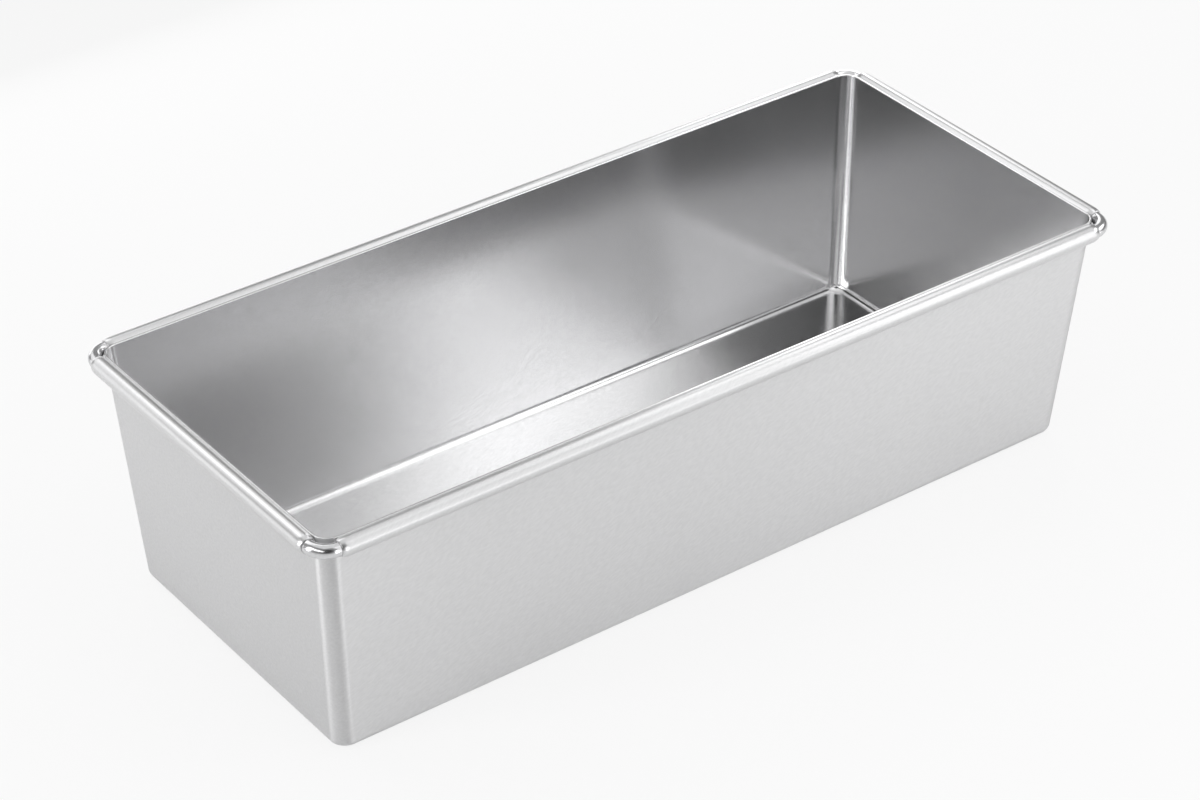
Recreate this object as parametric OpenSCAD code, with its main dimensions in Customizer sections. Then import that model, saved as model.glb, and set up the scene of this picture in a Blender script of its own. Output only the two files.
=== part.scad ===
// Open loaf pan with drafted walls and a wired rim.
// The pan is one pressed sheet. Along each side the sheet is curled outward from the wall's
// top edge and round a stiff wire frame. The curls stop short of the corners, where the wire
// lies bare and only the plain top edge of the wall goes round inside it.
// Lengths in millimetres. X runs along the pan, Y across it and Z up.
// The origin is the centre of the underside, on the surface that the pan stands on.

/* [Pan] */
// Inside length between the end walls, at their top edges
inside_length = 330; // [240:1:420]
// Inside width between the long walls, at their top edges
inside_width = 138; // [90:1:200]
// Overall height, from the underside to the top of the rim
height = 93; // [50:1:130]
// Lean of all four walls from upright, in degrees
draft = 4; // [2:0.25:9]
// Thickness of the sheet
sheet = 0.8; // [0.5:0.05:1.2]

/* [Corners] */
// Outside radius of the four upright corners
corner_radius = 6.5; // [6:0.5:16]
// Outside radius of the bend between the floor and the walls
floor_radius = 3.5; // [2:0.25:5]

/* [Wired rim] */
// Diameter of the wire frame
wire_diameter = 5; // [3:0.25:7]
// Clearance between the wire and the curl round it
wire_clearance = 0.05; // [0.03:0.01:0.15]
// Gap between the bare wire and the outside of the wall, across each corner
corner_gap = 1.1; // [0.8:0.1:2.2]
// Bare wire left between the start of a corner bend and the end of a curl
curl_setback = 0; // [0:0.5:12]
// Length over which the ends of a curl taper toward the wire
end_taper = 2.5; // [1:0.5:6]
// Thickness of the curled sheet left at the very end of a curl
end_thickness = 0.3; // [0.25:0.05:0.45]
// Gap between the curl's free edge and the outside of the wall
curl_slit = 0.2; // [0.1:0.05:0.6]
// Drop from the top of the rim to the top edge of the walls
edge_drop = 0.85; // [0.6:0.05:1]
// Offset between the inside of the wall and the innermost line of the curl
edge_land = 0.1; // [0.05:0.01:0.2]

/* [Hidden] */

// Radii round the middle of the wire, and its height
channel_radius = wire_diameter / 2 + wire_clearance;
curl_radius = channel_radius + sheet;
wire_z = height - curl_radius;
edge_z = height - edge_drop;

// How far from the middle of the wire the wall passes, measured square to the wall
wall_inside_offset = curl_radius + edge_land;
wall_outside_offset = wall_inside_offset - sheet;

// The wire is drawn to a hundredth, so that its straight runs and its bends meet exactly
function to_hundredth(value) = round(100 * value) / 100;

// Half sizes of the wire frame, to the middle of the wire
edge_lean = (edge_z - wire_z) * tan(draft);
wire_x = to_hundredth(inside_length / 2 - edge_lean + wall_inside_offset / cos(draft));
wire_y = to_hundredth(inside_width / 2 - edge_lean + wall_inside_offset / cos(draft));

// Half sizes of the pan's outside where its walls, drawn straight down, meet the floor
wall_setback = wall_outside_offset / cos(draft);
base_x = wire_x - wall_setback - wire_z * tan(draft);
base_y = wire_y - wall_setback - wire_z * tan(draft);

// Bend of the wire at the corners. On the diagonal, a corner of radius r stands
// r * corner_share inside the point of the corner along both axes.
corner_share = 1 - sqrt(1 / 2);
diagonal_setback = (corner_gap + wire_diameter / 2) * sqrt(1 / 2);
wire_bend = to_hundredth(corner_radius + (wall_setback - diagonal_setback) / corner_share);
wire_straight_x = 2 * (wire_x - wire_bend);
wire_straight_y = 2 * (wire_y - wire_bend);

// Angles round the wire, from straight out of the pan: where the curl leaves the wall, and
// how far below that its free edge stops
curl_root_angle = 180 - draft;
curl_edge_angle = acos((wall_outside_offset - curl_slit) / curl_radius);

// Outside radius of a curl at a share of the way along its end taper, from 0 to 1 at the end
function taper_radius(share) = curl_radius - (sheet - end_thickness) * pow(share, 2);

bend_facets = 32; // on the pressed shape's corners and bends
round_facets = 96; // on the wire and the curls
taper_steps = 6; // along the end taper of a curl
slice = 0.01; // thickness of the flat top layer of the pressed shape

// Solid form with four leaning walls, round upright corners and a round bend at the foot.
// half_x and half_y are where the planes of the walls meet the plane of the floor.
module pressed_form(half_x, half_y, corner, bend, floor_z, top_z) {
    lean = (top_z - floor_z) * tan(draft);
    bend_ring = corner + bend * tan(draft) - bend / cos(draft);
    hull() {
        for (side_x = [-1, 1], side_y = [-1, 1]) {
            translate([side_x * (half_x - corner), side_y * (half_y - corner), floor_z + bend])
                rotate_extrude($fn = bend_facets)
                    bend_section(bend_ring, bend);
            translate([side_x * (half_x + lean - corner), side_y * (half_y + lean - corner), top_z - slice])
                cylinder(r = corner, h = slice, $fn = bend_facets);
        }
    }
}

// Section of the round bend at the foot of a corner, kept to one side of the corner's axis
module bend_section(bend_ring, bend) {
    intersection() {
        translate([bend_ring, 0])
            circle(r = bend, $fn = bend_facets);
        translate([0, -bend])
            square([bend_ring + bend, 2 * bend]);
    }
}

// Outside of the pressed sheet, up to the top edge of the walls
module outer_form() {
    pressed_form(base_x, base_y, corner_radius, floor_radius, 0, edge_z);
}

// Inside of the pressed sheet, one thickness in from the outside and open past the rim
module inner_form() {
    inset = sheet / cos(draft) - sheet * tan(draft);
    inner_corner = corner_radius - sheet;
    inner_bend = floor_radius - sheet;
    pressed_form(base_x - inset, base_y - inset, inner_corner, inner_bend, sheet, height);
}

// Lays its children along the wire's straight run on each side of the pan. Their Z runs along
// the wire, their X points out of the pan, and $run is the length of the straight run.
module on_four_sides() {
    for (side = [0, 1, 2, 3]) {
        along_y = side % 2 == 0;
        $run = along_y ? wire_straight_y : wire_straight_x;
        rotate([0, 0, 90 * side])
            translate([along_y ? wire_x : wire_y, 0, wire_z])
                rotate([90, 0, 0])
                    children();
    }
}

// Lengthwise section of a curl from its wire side outward, tapered at both ends
module curl_profile(length) {
    taper = [
        for (step = [0 : taper_steps])
            let (share = step / taper_steps)
                [taper_radius(share), length / 2 - (1 - share) * end_taper]
    ];
    wire_side = [[channel_radius, length / 2], [channel_radius, -length / 2]];
    far_taper = [for (step = [taper_steps : -1 : 0]) [taper[step].x, -taper[step].y]];
    polygon(concat(taper, wire_side, far_taper));
}

// A curl, open from the wall down to its free edge
module curl(length) {
    rotate([0, 0, curl_root_angle + curl_edge_angle])
        rotate_extrude(angle = 360 - curl_edge_angle, $fn = round_facets)
            curl_profile(length);
}

// The pressed sheet: floor, four walls, and the curl along the top of each wall
module pan_body() {
    color("silver") {
        difference() {
            outer_form();
            inner_form();
        }
        on_four_sides() curl($run - 2 * curl_setback);
    }
}

// The wire frame: four straight runs joined by four quarter bends
module rim_wire() {
    color("darkgray") {
        on_four_sides()
            cylinder(d = wire_diameter, h = $run, center = true, $fn = round_facets);
        for (quarter = [0, 1, 2, 3])
            wire_corner(quarter);
    }
}

// The wire's quarter bend in one corner, counted anticlockwise from the +X, +Y corner
module wire_corner(quarter) {
    side_x = quarter == 0 || quarter == 3 ? 1 : -1;
    side_y = quarter < 2 ? 1 : -1;
    translate([side_x * wire_straight_x / 2, side_y * wire_straight_y / 2, wire_z])
        rotate([0, 0, 90 * quarter])
            rotate_extrude(angle = 90, $fn = round_facets)
                translate([wire_bend, 0])
                    circle(d = wire_diameter, $fn = round_facets);
}

pan_body();
rim_wire();
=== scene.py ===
import math

import bmesh
import bpy
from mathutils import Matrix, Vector


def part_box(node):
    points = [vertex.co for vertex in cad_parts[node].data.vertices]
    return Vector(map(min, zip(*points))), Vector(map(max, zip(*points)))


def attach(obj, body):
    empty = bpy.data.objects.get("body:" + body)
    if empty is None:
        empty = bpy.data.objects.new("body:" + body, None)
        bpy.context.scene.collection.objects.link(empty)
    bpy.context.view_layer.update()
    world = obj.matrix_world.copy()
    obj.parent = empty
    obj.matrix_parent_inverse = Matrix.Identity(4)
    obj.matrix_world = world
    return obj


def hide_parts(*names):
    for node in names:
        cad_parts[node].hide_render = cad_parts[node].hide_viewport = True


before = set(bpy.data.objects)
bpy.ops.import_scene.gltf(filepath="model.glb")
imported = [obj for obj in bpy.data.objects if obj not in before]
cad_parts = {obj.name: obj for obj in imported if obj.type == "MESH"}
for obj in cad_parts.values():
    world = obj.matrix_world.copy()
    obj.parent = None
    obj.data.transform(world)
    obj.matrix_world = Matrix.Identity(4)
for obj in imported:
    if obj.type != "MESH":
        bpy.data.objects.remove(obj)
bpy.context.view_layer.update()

# Pressed sheet: one piece of aluminium, drawn into a floor, four leaning walls and round corners.
# Each wall's top is curled outward and down round the wire frame. The curls taper off where the
# wire starts to bend, so a plain top edge goes round each corner.
SHEET = 0.0008
DRAFT = math.radians(4)
CORNER_RADIUS = 0.0065
FLOOR_RADIUS = 0.0035
WIRE_DIAMETER = 0.005
WIRE_CLEARANCE = 0.00005
EDGE_DROP = 0.00085
EDGE_LAND = 0.0001
EDGE_INNER_ROUND = 0.00035
EDGE_OUTER_ROUND = 0.0002
CORNER_GAP = 0.0011
CURL_SLIT = 0.0002
END_TAPER = 0.0025
END_THICKNESS = 0.0003
END_ROUND = 0.0001
CORNERS = ((1, 1), (-1, 1), (-1, -1), (1, -1))
CORNER_STEPS = 24
BEND_STEPS = 10
EDGE_STEPS = 5
CURL_STEPS = 72
TAPER_STEPS = 8
SHEET_SHARP_ANGLE = math.radians(32)

pan_high = Vector(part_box("pan_body")[1])
channel_radius = WIRE_DIAMETER / 2 + WIRE_CLEARANCE
curl_radius = channel_radius + SHEET
wire_x = pan_high.x - curl_radius
wire_y = pan_high.y - curl_radius
wire_z = pan_high.z - curl_radius
edge_z = pan_high.z - EDGE_DROP
wall_setback = (curl_radius + EDGE_LAND - SHEET) / math.cos(DRAFT)
base_x = wire_x - wall_setback - wire_z * math.tan(DRAFT)
base_y = wire_y - wall_setback - wire_z * math.tan(DRAFT)
corner_share = 1 - math.sqrt(0.5)
diagonal_setback = (CORNER_GAP + WIRE_DIAMETER / 2) * math.sqrt(0.5)
wire_bend = CORNER_RADIUS + (wall_setback - diagonal_setback) / corner_share


def ring(spread, corner, z):
    """An outline round the pan, with round corners, that stands out from the base by spread."""
    points = []
    for quarter, (side_x, side_y) in enumerate(CORNERS):
        for step in range(CORNER_STEPS + 1):
            turn = math.radians(90) * (quarter + step / CORNER_STEPS)
            x = side_x * (base_x + spread - corner) + corner * math.cos(turn)
            y = side_y * (base_y + spread - corner) + corner * math.sin(turn)
            points.append(Vector((x, y, z)))
    return points


def foot_rings(spread, corner, bend, floor_z):
    """Outlines up the round bend between the floor and the walls, from the floor to the wall."""
    bend_ring = corner + bend * math.tan(DRAFT) - bend / math.cos(DRAFT)
    wall_angle = math.radians(90) - DRAFT
    excess = bend_ring + bend * math.sin(wall_angle) - corner
    rings = []
    for step in range(BEND_STEPS + 1):
        angle = wall_angle * step / BEND_STEPS
        rise = bend * (1 - math.cos(angle))
        share = rise / (bend * (1 - math.cos(wall_angle)))
        reach = bend_ring + bend * math.sin(angle)
        rings.append(ring(spread + reach - corner, reach - excess * share, floor_z + rise))
    return rings


def edge_rings():
    """Outlines over the rounded top edge of the walls, from the outside to the inside."""
    rings = []
    for radius, side, from_angle, to_angle in (
        (EDGE_OUTER_ROUND, 1, -DRAFT, math.radians(90)),
        (EDGE_INNER_ROUND, -1, math.radians(90), math.radians(180) - DRAFT),
    ):
        centre_z = edge_z - radius
        outside = centre_z * math.tan(DRAFT)
        centre = outside - radius / math.cos(DRAFT)
        if side < 0:
            centre = outside + (radius - SHEET) / math.cos(DRAFT)
        for step in range(EDGE_STEPS + 1):
            angle = from_angle + (to_angle - from_angle) * step / EDGE_STEPS
            out = centre + radius * math.cos(angle)
            z = centre_z + radius * math.sin(angle)
            corner = CORNER_RADIUS - (z * math.tan(DRAFT) - out)
            rings.append(ring(out, corner, z))
    return rings


def skin(mesh, rings, start_cap, end_cap):
    """Faces between closed outlines, with a flat face over the first and the last."""
    rows = [[mesh.verts.new(point) for point in points] for points in rings]
    for lower, upper in zip(rows, rows[1:]):
        for here in range(len(lower)):
            there = (here + 1) % len(lower)
            mesh.faces.new((lower[here], lower[there], upper[there], upper[here]))
    if start_cap:
        mesh.faces.new(list(reversed(rows[0])))
    if end_cap:
        mesh.faces.new(rows[-1])
    return rows


def new_object(name, mesh, materials):
    """Turns a bmesh into an object of the scene with its materials."""
    data = bpy.data.meshes.new(name)
    bmesh.ops.recalc_face_normals(mesh, faces=mesh.faces)
    mesh.to_mesh(data)
    mesh.free()
    for material in materials:
        data.materials.append(material)
    piece = bpy.data.objects.new(name, data)
    bpy.context.scene.collection.objects.link(piece)
    return piece


def pressed_shell():
    """The sheet without its curls: outside, top edge, inside."""
    inset = SHEET / math.cos(DRAFT) - SHEET * math.tan(DRAFT)
    outside = foot_rings(0, CORNER_RADIUS, FLOOR_RADIUS, 0)
    inside = foot_rings(-inset, CORNER_RADIUS - SHEET, FLOOR_RADIUS - SHEET, SHEET)
    mesh = bmesh.new()
    rows = skin(mesh, outside + edge_rings() + list(reversed(inside)), True, True)
    walls = list(mesh.faces)[: len(outside) * len(rows[0])]
    underside = rows[0][0].link_faces
    for face in walls + list(underside):
        face.material_index = OUTSIDE
    return mesh


def curl_outline(shrink):
    """Section of a curl as (out, up) from the wire's middle: a ring, open above its free edge."""
    root = math.radians(180) - DRAFT
    gap = wall_setback * math.cos(DRAFT) - CURL_SLIT
    free_edge = root + math.acos(gap / curl_radius) - math.radians(360)
    outline = []
    for radius, start, stop in (
        (curl_radius - shrink, root, free_edge),
        (channel_radius, free_edge, root),
    ):
        for step in range(CURL_STEPS + 1):
            angle = start + (stop - start) * step / CURL_STEPS
            outline.append((radius * math.cos(angle), radius * math.sin(angle)))
    return outline


def curl_between(mesh, place, half_length):
    """One curl along a side. place turns (along, out, up) into a point of the pan."""
    rings = []
    stations = []
    for step in range(TAPER_STEPS + 1):
        share = step / TAPER_STEPS
        along = half_length - END_ROUND - (END_TAPER - END_ROUND) * (1 - share)
        stations.append((along, (SHEET - END_THICKNESS) * share ** 2))
    stations.append((half_length, SHEET - END_THICKNESS + END_ROUND))
    stations = [(-along, shrink) for along, shrink in reversed(stations)] + stations
    for along, shrink in stations:
        rings.append([place(along, out, up) for out, up in curl_outline(shrink)])
    skin(mesh, rings, True, True)


def curls():
    """The four curls along the straight stretches of the wire."""
    mesh = bmesh.new()
    for side in (-1, 1):
        curl_between(
            mesh,
            lambda along, out, up: Vector((along, side * (wire_y + out), wire_z + up)),
            wire_x - wire_bend,
        )
        curl_between(
            mesh,
            lambda along, out, up: Vector((side * (wire_x + out), along, wire_z + up)),
            wire_y - wire_bend,
        )
    return mesh


STREAK_LENGTH = 0.005
STREAK_WIDTH = 0.0008
STREAK_LIE = (math.radians(20), math.radians(-22), math.radians(18))
STREAK_DETAIL = 2.0
CLOUD_SIZE = 0.06
CLOUD_DETAIL = 3.0


def rolled_grain_group():
    """Grain of rolled sheet: short fine streaks that lie one way, and slow changes of finish."""
    group = bpy.data.node_groups.new("rolled_grain", "ShaderNodeTree")
    fineness = group.interface.new_socket("Fineness", in_out="INPUT", socket_type="NodeSocketFloat")
    fineness.default_value = 1.0
    for name in ("Streaks", "Clouds"):
        group.interface.new_socket(name, in_out="OUTPUT", socket_type="NodeSocketFloat")
    nodes, links = group.nodes, group.links
    inputs = nodes.new("NodeGroupInput")
    outputs = nodes.new("NodeGroupOutput")
    where = nodes.new("ShaderNodeTexCoord")
    lie = nodes.new("ShaderNodeMapping")
    lie.vector_type = "TEXTURE"
    lie.inputs["Rotation"].default_value = STREAK_LIE
    lie.inputs["Scale"].default_value = (STREAK_LENGTH, STREAK_WIDTH, STREAK_WIDTH)
    links.new(where.outputs["Object"], lie.inputs["Vector"])
    streaks = nodes.new("ShaderNodeTexNoise")
    streaks.inputs["Detail"].default_value = STREAK_DETAIL
    links.new(lie.outputs["Vector"], streaks.inputs["Vector"])
    links.new(inputs.outputs["Fineness"], streaks.inputs["Scale"])
    links.new(streaks.outputs["Fac"], outputs.inputs["Streaks"])
    clouds = nodes.new("ShaderNodeTexNoise")
    clouds.inputs["Scale"].default_value = 1 / CLOUD_SIZE
    clouds.inputs["Detail"].default_value = CLOUD_DETAIL
    links.new(where.outputs["Object"], clouds.inputs["Vector"])
    links.new(clouds.outputs["Fac"], outputs.inputs["Clouds"])
    return group


rolled_grain = rolled_grain_group()
NOISE_LOW = 0.3
NOISE_HIGH = 0.7
STREAK_SHADE = 0.93
GLOSS_SPREAD = 0.1
# The colour sockets of a Mix node go by their place, because its other sockets have the same names.
COLOUR_A = 6
COLOUR_B = 7
MIXED_COLOUR = 2


def spread_between(nodes, links, value, low, high):
    """Spreads a noise value, which keeps to its middle, between low and high."""
    spread = nodes.new("ShaderNodeMapRange")
    spread.inputs["From Min"].default_value = NOISE_LOW
    spread.inputs["From Max"].default_value = NOISE_HIGH
    spread.inputs["To Min"].default_value = low
    spread.inputs["To Max"].default_value = high
    links.new(value, spread.inputs["Value"])
    return spread.outputs["Result"]


def bare_metal(name, colour, roughness, fineness, grain_depth, sway_depth):
    """A bare metal with fine grain, and slow changes in its gloss and flatness."""
    material = bpy.data.materials.new(name)
    material.use_nodes = True
    nodes, links = material.node_tree.nodes, material.node_tree.links
    shader = nodes["Principled BSDF"]
    shader.inputs["Metallic"].default_value = 1.0
    grain = nodes.new("ShaderNodeGroup")
    grain.node_tree = rolled_grain
    grain.inputs["Fineness"].default_value = fineness
    tone = nodes.new("ShaderNodeMix")
    tone.data_type = "RGBA"
    shade = spread_between(nodes, links, grain.outputs["Streaks"], 0.0, 1.0)
    links.new(shade, tone.inputs["Factor"])
    tone.inputs[COLOUR_A].default_value = [channel * STREAK_SHADE for channel in colour] + [1.0]
    tone.inputs[COLOUR_B].default_value = list(colour) + [1.0]
    links.new(tone.outputs[MIXED_COLOUR], shader.inputs["Base Color"])
    smoothest = roughness * (1 - GLOSS_SPREAD)
    roughest = roughness * (1 + GLOSS_SPREAD)
    gloss = spread_between(nodes, links, grain.outputs["Clouds"], smoothest, roughest)
    links.new(gloss, shader.inputs["Roughness"])
    sway = nodes.new("ShaderNodeBump")
    sway.inputs["Distance"].default_value = sway_depth
    links.new(grain.outputs["Clouds"], sway.inputs["Height"])
    fine = nodes.new("ShaderNodeBump")
    fine.inputs["Distance"].default_value = grain_depth
    links.new(grain.outputs["Streaks"], fine.inputs["Height"])
    links.new(sway.outputs["Normal"], fine.inputs["Normal"])
    links.new(fine.outputs["Normal"], shader.inputs["Normal"])
    return material


UPWARD_SPREAD = 0.85
QUARTER_TURN = 0.25


def drawn_upward(metal):
    """Gives a metal the gloss of walls that were drawn through a ring: spread up and down."""
    nodes, links = metal.node_tree.nodes, metal.node_tree.links
    shader = nodes["Principled BSDF"]
    shader.inputs["Anisotropic"].default_value = UPWARD_SPREAD
    shader.inputs["Anisotropic Rotation"].default_value = QUARTER_TURN
    round_the_walls = nodes.new("ShaderNodeTangent")
    round_the_walls.direction_type = "RADIAL"
    round_the_walls.axis = "Z"
    links.new(round_the_walls.outputs["Tangent"], shader.inputs["Tangent"])


satin = bare_metal(
    "satin_inside",
    colour=(0.80, 0.80, 0.805),
    roughness=0.18,
    fineness=1.0,
    grain_depth=0.000004,
    sway_depth=0.00004,
)
dull = bare_metal(
    "satin_outside",
    colour=(0.725, 0.725, 0.73),
    roughness=0.45,
    fineness=1.0,
    grain_depth=0.000002,
    sway_depth=0.00002,
)
drawn_upward(dull)
rolled = bare_metal(
    "rolled_rim",
    colour=(0.70, 0.70, 0.705),
    roughness=0.30,
    fineness=1.6,
    grain_depth=0.000001,
    sway_depth=0.0,
)
finishes = [satin, rolled, dull]
RIM = finishes.index(rolled)
OUTSIDE = finishes.index(dull)


def fused(name, base, added):
    """One solid out of two: the curls are the same sheet as the walls."""
    union = base.modifiers.new("union", "BOOLEAN")
    union.operation = "UNION"
    union.solver = "EXACT"
    union.object = added
    seen = base.evaluated_get(bpy.context.evaluated_depsgraph_get())
    data = bpy.data.meshes.new_from_object(seen)
    data.name = name
    piece = bpy.data.objects.new(name, data)
    bpy.context.scene.collection.objects.link(piece)
    for used in (base, added):
        bpy.data.objects.remove(used)
    return piece


FLAT_FACE_WEIGHT = 100


def smoothed(piece, sharp_angle):
    """Smooth shading that keeps flats flat and stops at the sharp edges."""
    data = piece.data
    data.shade_smooth()
    data.set_sharp_from_angle(angle=sharp_angle)
    weigh = piece.modifiers.new("flat_faces_stay_flat", "WEIGHTED_NORMAL")
    weigh.keep_sharp = True
    weigh.weight = FLAT_FACE_WEIGHT


shell = new_object("shell", pressed_shell(), finishes)
rolls = curls()
for face in rolls.faces:
    face.material_index = RIM
rolls = new_object("rolls", rolls, finishes)
pan = fused("pressed_sheet", shell, rolls)
smoothed(pan, SHEET_SHARP_ANGLE)
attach(pan, "root")
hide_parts("pan_body")

# Wire frame: one bright drawn steel wire, bent into a rectangle with round corners and closed
# by a butt weld that lies hidden in a curl. The curls grip it along the four sides and it lies
# bare round the corners, a little clear of the wall's corner.
WIRE_SIDES = 48
WIRE_BEND_STEPS = 24
WIRE_SHARP_ANGLE = math.radians(40)


def bent_wire():
    """A round wire swept once round the frame."""
    mesh = bmesh.new()
    rings = []
    for quarter, (side_x, side_y) in enumerate(CORNERS):
        for step in range(WIRE_BEND_STEPS + 1):
            turn = math.radians(90) * (quarter + step / WIRE_BEND_STEPS)
            outward = Vector((math.cos(turn), math.sin(turn), 0))
            corner = Vector((side_x * (wire_x - wire_bend), side_y * (wire_y - wire_bend), wire_z))
            middle = corner + wire_bend * outward
            points = []
            for side in range(WIRE_SIDES):
                angle = math.radians(360) * side / WIRE_SIDES
                up = Vector((0, 0, math.sin(angle)))
                points.append(middle + WIRE_DIAMETER / 2 * (math.cos(angle) * outward + up))
            rings.append(points)
    rows = skin(mesh, rings, False, False)
    for here in range(WIRE_SIDES):
        there = (here + 1) % WIRE_SIDES
        mesh.faces.new((rows[-1][here], rows[-1][there], rows[0][there], rows[0][here]))
    return mesh


drawn = bare_metal(
    "drawn_wire",
    colour=(0.70, 0.70, 0.71),
    roughness=0.20,
    fineness=1.6,
    grain_depth=0.000001,
    sway_depth=0.0,
)
wire = new_object("wire_frame", bent_wire(), [drawn])
smoothed(wire, WIRE_SHARP_ANGLE)
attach(wire, "root")
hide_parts("rim_wire")

# Studio: a plain white floor that keeps a soft shadow, and softboxes close about the pan. The
# metal shows their soft faces, and between them the grey of the room, which is dark round the
# opening for the camera. The camera itself sees only white.
FLOOR_SIZE = 12.0
FLOOR_WHITE = 0.9
FLOOR_ROUGHNESS = 0.9
FLOOR_GLOW = 0.97
GLOW_SEEN = 0.86
GLOW_MIRRORED = 0.20


def light_path_share(nodes, links, camera_share, glossy_share):
    """Share of the floor's own glow that the camera sees, and that shows in the metal."""
    path = nodes.new("ShaderNodeLightPath")
    seen = nodes.new("ShaderNodeMath")
    seen.operation = "MULTIPLY"
    seen.inputs[1].default_value = camera_share
    links.new(path.outputs["Is Camera Ray"], seen.inputs[0])
    mirrored = nodes.new("ShaderNodeMath")
    mirrored.operation = "MULTIPLY"
    mirrored.inputs[1].default_value = glossy_share
    links.new(path.outputs["Is Glossy Ray"], mirrored.inputs[0])
    total = nodes.new("ShaderNodeMath")
    total.operation = "ADD"
    links.new(seen.outputs[0], total.inputs[0])
    links.new(mirrored.outputs[0], total.inputs[1])
    return total.outputs[0]


floor_mesh = bmesh.new()
bmesh.ops.create_grid(floor_mesh, x_segments=1, y_segments=1, size=FLOOR_SIZE / 2)
floor_material = bpy.data.materials.new("white_floor")
floor_material.use_nodes = True
floor_nodes, floor_links = floor_material.node_tree.nodes, floor_material.node_tree.links
matt = floor_nodes["Principled BSDF"]
matt.inputs["Base Color"].default_value = (FLOOR_WHITE, FLOOR_WHITE, FLOOR_WHITE, 1)
matt.inputs["Roughness"].default_value = FLOOR_ROUGHNESS
matt.inputs["Specular IOR Level"].default_value = 0.0
white = floor_nodes.new("ShaderNodeEmission")
white.inputs["Strength"].default_value = FLOOR_GLOW
blend = floor_nodes.new("ShaderNodeMixShader")
glow_share = light_path_share(floor_nodes, floor_links, GLOW_SEEN, GLOW_MIRRORED)
floor_links.new(glow_share, blend.inputs[0])
floor_links.new(matt.outputs[0], blend.inputs[1])
floor_links.new(white.outputs[0], blend.inputs[2])
floor_links.new(blend.outputs[0], floor_nodes["Material Output"].inputs["Surface"])
floor = new_object("floor", floor_mesh, [floor_material])

ROOM_GREY = 0.3
OPENING_GREY = 0.03
OPENING_SIDE = Vector((-0.50, -0.70, 0.48)).normalized()
OPENING_CORE = math.radians(18)
OPENING_REACH = math.radians(32)


def room_world():
    """A grey room that is dark round the opening that the camera looks in by."""
    world = bpy.data.worlds.new("studio")
    world.use_nodes = True
    nodes, links = world.node_tree.nodes, world.node_tree.links
    where = nodes.new("ShaderNodeTexCoord")
    towards = nodes.new("ShaderNodeVectorMath")
    towards.operation = "DOT_PRODUCT"
    towards.inputs[1].default_value = OPENING_SIDE
    links.new(where.outputs["Generated"], towards.inputs[0])
    grey = nodes.new("ShaderNodeMapRange")
    grey.interpolation_type = "SMOOTHSTEP"
    grey.inputs["From Min"].default_value = math.cos(OPENING_REACH)
    grey.inputs["From Max"].default_value = math.cos(OPENING_CORE)
    grey.inputs["To Min"].default_value = ROOM_GREY
    grey.inputs["To Max"].default_value = OPENING_GREY
    links.new(towards.outputs["Value"], grey.inputs["Value"])
    path = nodes.new("ShaderNodeLightPath")
    level = nodes.new("ShaderNodeMath")
    level.operation = "MAXIMUM"
    links.new(path.outputs["Is Camera Ray"], level.inputs[0])
    links.new(grey.outputs["Result"], level.inputs[1])
    background = nodes["Background"]
    background.inputs["Color"].default_value = (1, 1, 1, 1)
    links.new(level.outputs[0], background.inputs["Strength"])
    return world


bpy.context.scene.world = room_world()


def softbox(name, middle, facing, width, height, strength):
    """A flat lamp of even brightness, in metres, that the camera doesn't see."""
    lamp = bpy.data.lights.new(name, "AREA")
    lamp.shape = "RECTANGLE"
    lamp.size = width
    lamp.size_y = height
    lamp.energy = math.pi * width * height * strength
    box = bpy.data.objects.new(name, lamp)
    box.location = middle
    box.rotation_euler = Vector(facing).to_track_quat("-Z", "Y").to_euler()
    box.visible_camera = False
    bpy.context.scene.collection.objects.link(box)


FRONT = -0.42
BACK = 0.42
LEFT = -0.60
RIGHT = 0.65
ABOVE = 0.75
TO_BACK = (0, 1, 0)
TO_FRONT = (0, -1, 0)
TO_RIGHT = (1, 0, 0)
TO_LEFT = (-1, 0, 0)
DOWN = (0, 0, -1)

# In front, for the long side and the light middle of the cavity.
softbox("front_left", (0.05, FRONT, 0.425), TO_BACK, 0.30, 0.65, 0.8)
softbox("front_strip", (-0.13, FRONT, 0.12), TO_BACK, 0.06, 0.22, 4.0)
softbox("front_middle", (0.25, FRONT, 0.25), TO_BACK, 0.10, 0.30, 0.9)
softbox("front_right", (0.40, FRONT, 0.425), TO_BACK, 0.20, 0.65, 1.6)
softbox("front_low", (0.30, FRONT, 0.05), TO_BACK, 0.90, 0.10, 1.0)

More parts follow.
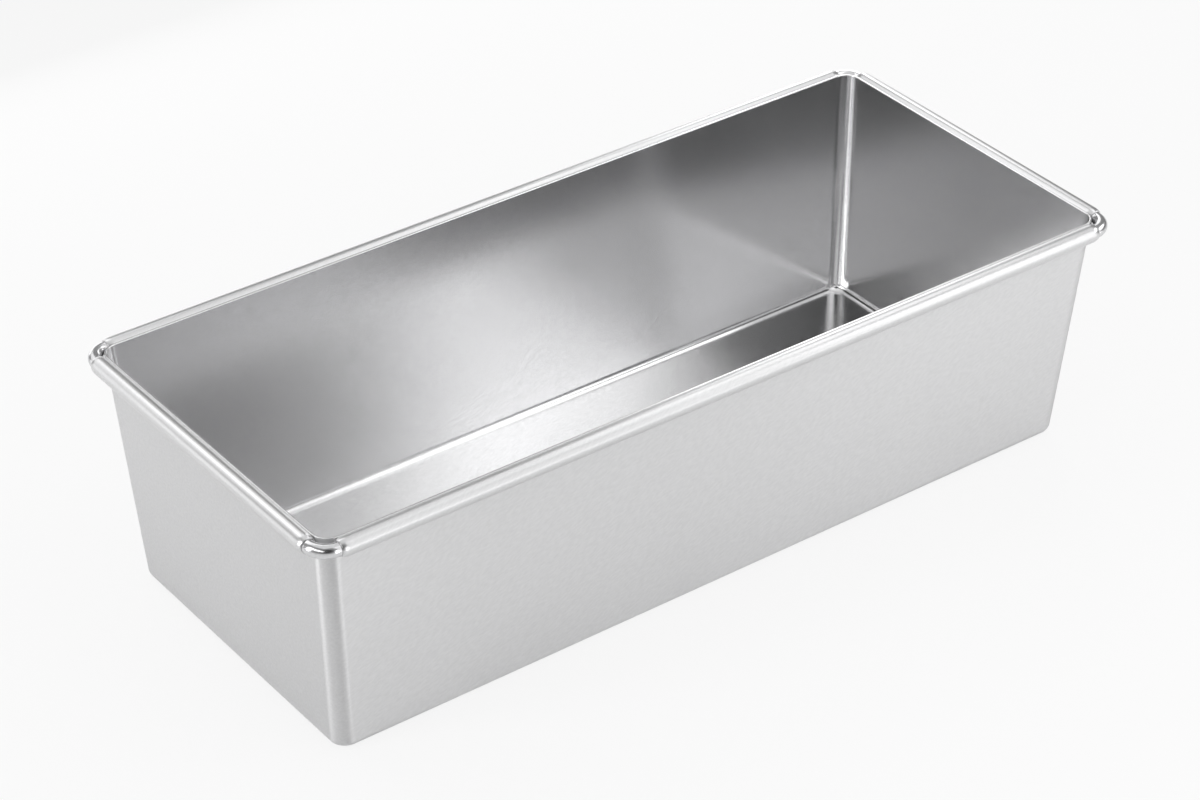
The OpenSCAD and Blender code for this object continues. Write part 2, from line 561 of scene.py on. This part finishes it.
# Behind, for the inside walls and the inner flanks of the curls.
softbox("back_left", (-0.30, BACK, 0.42), TO_FRONT, 0.40, 0.44, 0.9)
softbox("back_strip", (0.42, BACK, 0.42), TO_FRONT, 0.14, 0.44, 2.4)
softbox("back_right", (0.55, BACK, 0.42), TO_FRONT, 0.20, 0.44, 0.9)
softbox("back_low", (0.20, BACK, 0.10), TO_FRONT, 0.80, 0.14, 1.3)

# At the ends, for the short sides and the bright lines down the upright corners.
softbox("left_wall", (LEFT, -0.20, 0.42), TO_RIGHT, 0.64, 0.20, 2.4)
softbox("left_strip", (LEFT, 0.04, 0.30), TO_RIGHT, 0.12, 0.50, 5.0)
softbox("left_low", (-0.45, 0.40, 0.12), TO_RIGHT, 0.50, 0.20, 0.9)
softbox("right_wall", (RIGHT, -0.25, 0.42), TO_LEFT, 0.44, 0.25, 2.6)

# Overhead, for the tops of the curls and the floor.
softbox("overhead", (-0.06, 0.02, ABOVE), DOWN, 0.66, 0.56, 0.6)
softbox("overhead_front", (0.20, -0.34, ABOVE), DOWN, 0.60, 0.20, 1.0)
softbox("overhead_right", (0.46, 0.02, ABOVE), DOWN, 0.36, 0.56, 1.4)
softbox("overhead_back", (-0.10, 0.52, ABOVE), DOWN, 0.66, 0.36, 1.3)

# Camera: looks down on the near corner from the left, with the long side to the right. Its place
# and lens were worked out from the straight edges of the pan.
VIEW_AZIMUTH = math.radians(-36.68)
VIEW_ELEVATION = math.radians(33.59)
VIEW_DISTANCE = 1.2536
VIEW_AIM = Vector((-0.0081, -0.0034, 0.048))
LENS = 106.3
SENSOR_WIDTH = 36
NEAREST_SEEN = 0.05

camera_data = bpy.data.cameras.new("camera")
camera_data.lens = LENS
camera_data.sensor_width = SENSOR_WIDTH
camera_data.clip_start = NEAREST_SEEN
camera = bpy.data.objects.new("camera", camera_data)
back = Vector((
    math.sin(VIEW_AZIMUTH) * math.cos(VIEW_ELEVATION),
    -math.cos(VIEW_AZIMUTH) * math.cos(VIEW_ELEVATION),
    math.sin(VIEW_ELEVATION),
))
camera.location = VIEW_AIM + VIEW_DISTANCE * back
camera.rotation_euler = (math.radians(90) - VIEW_ELEVATION, 0, VIEW_AZIMUTH)
bpy.context.scene.collection.objects.link(camera)
bpy.context.scene.camera = camera
bpy.context.scene.view_settings.view_transform = "Standard"
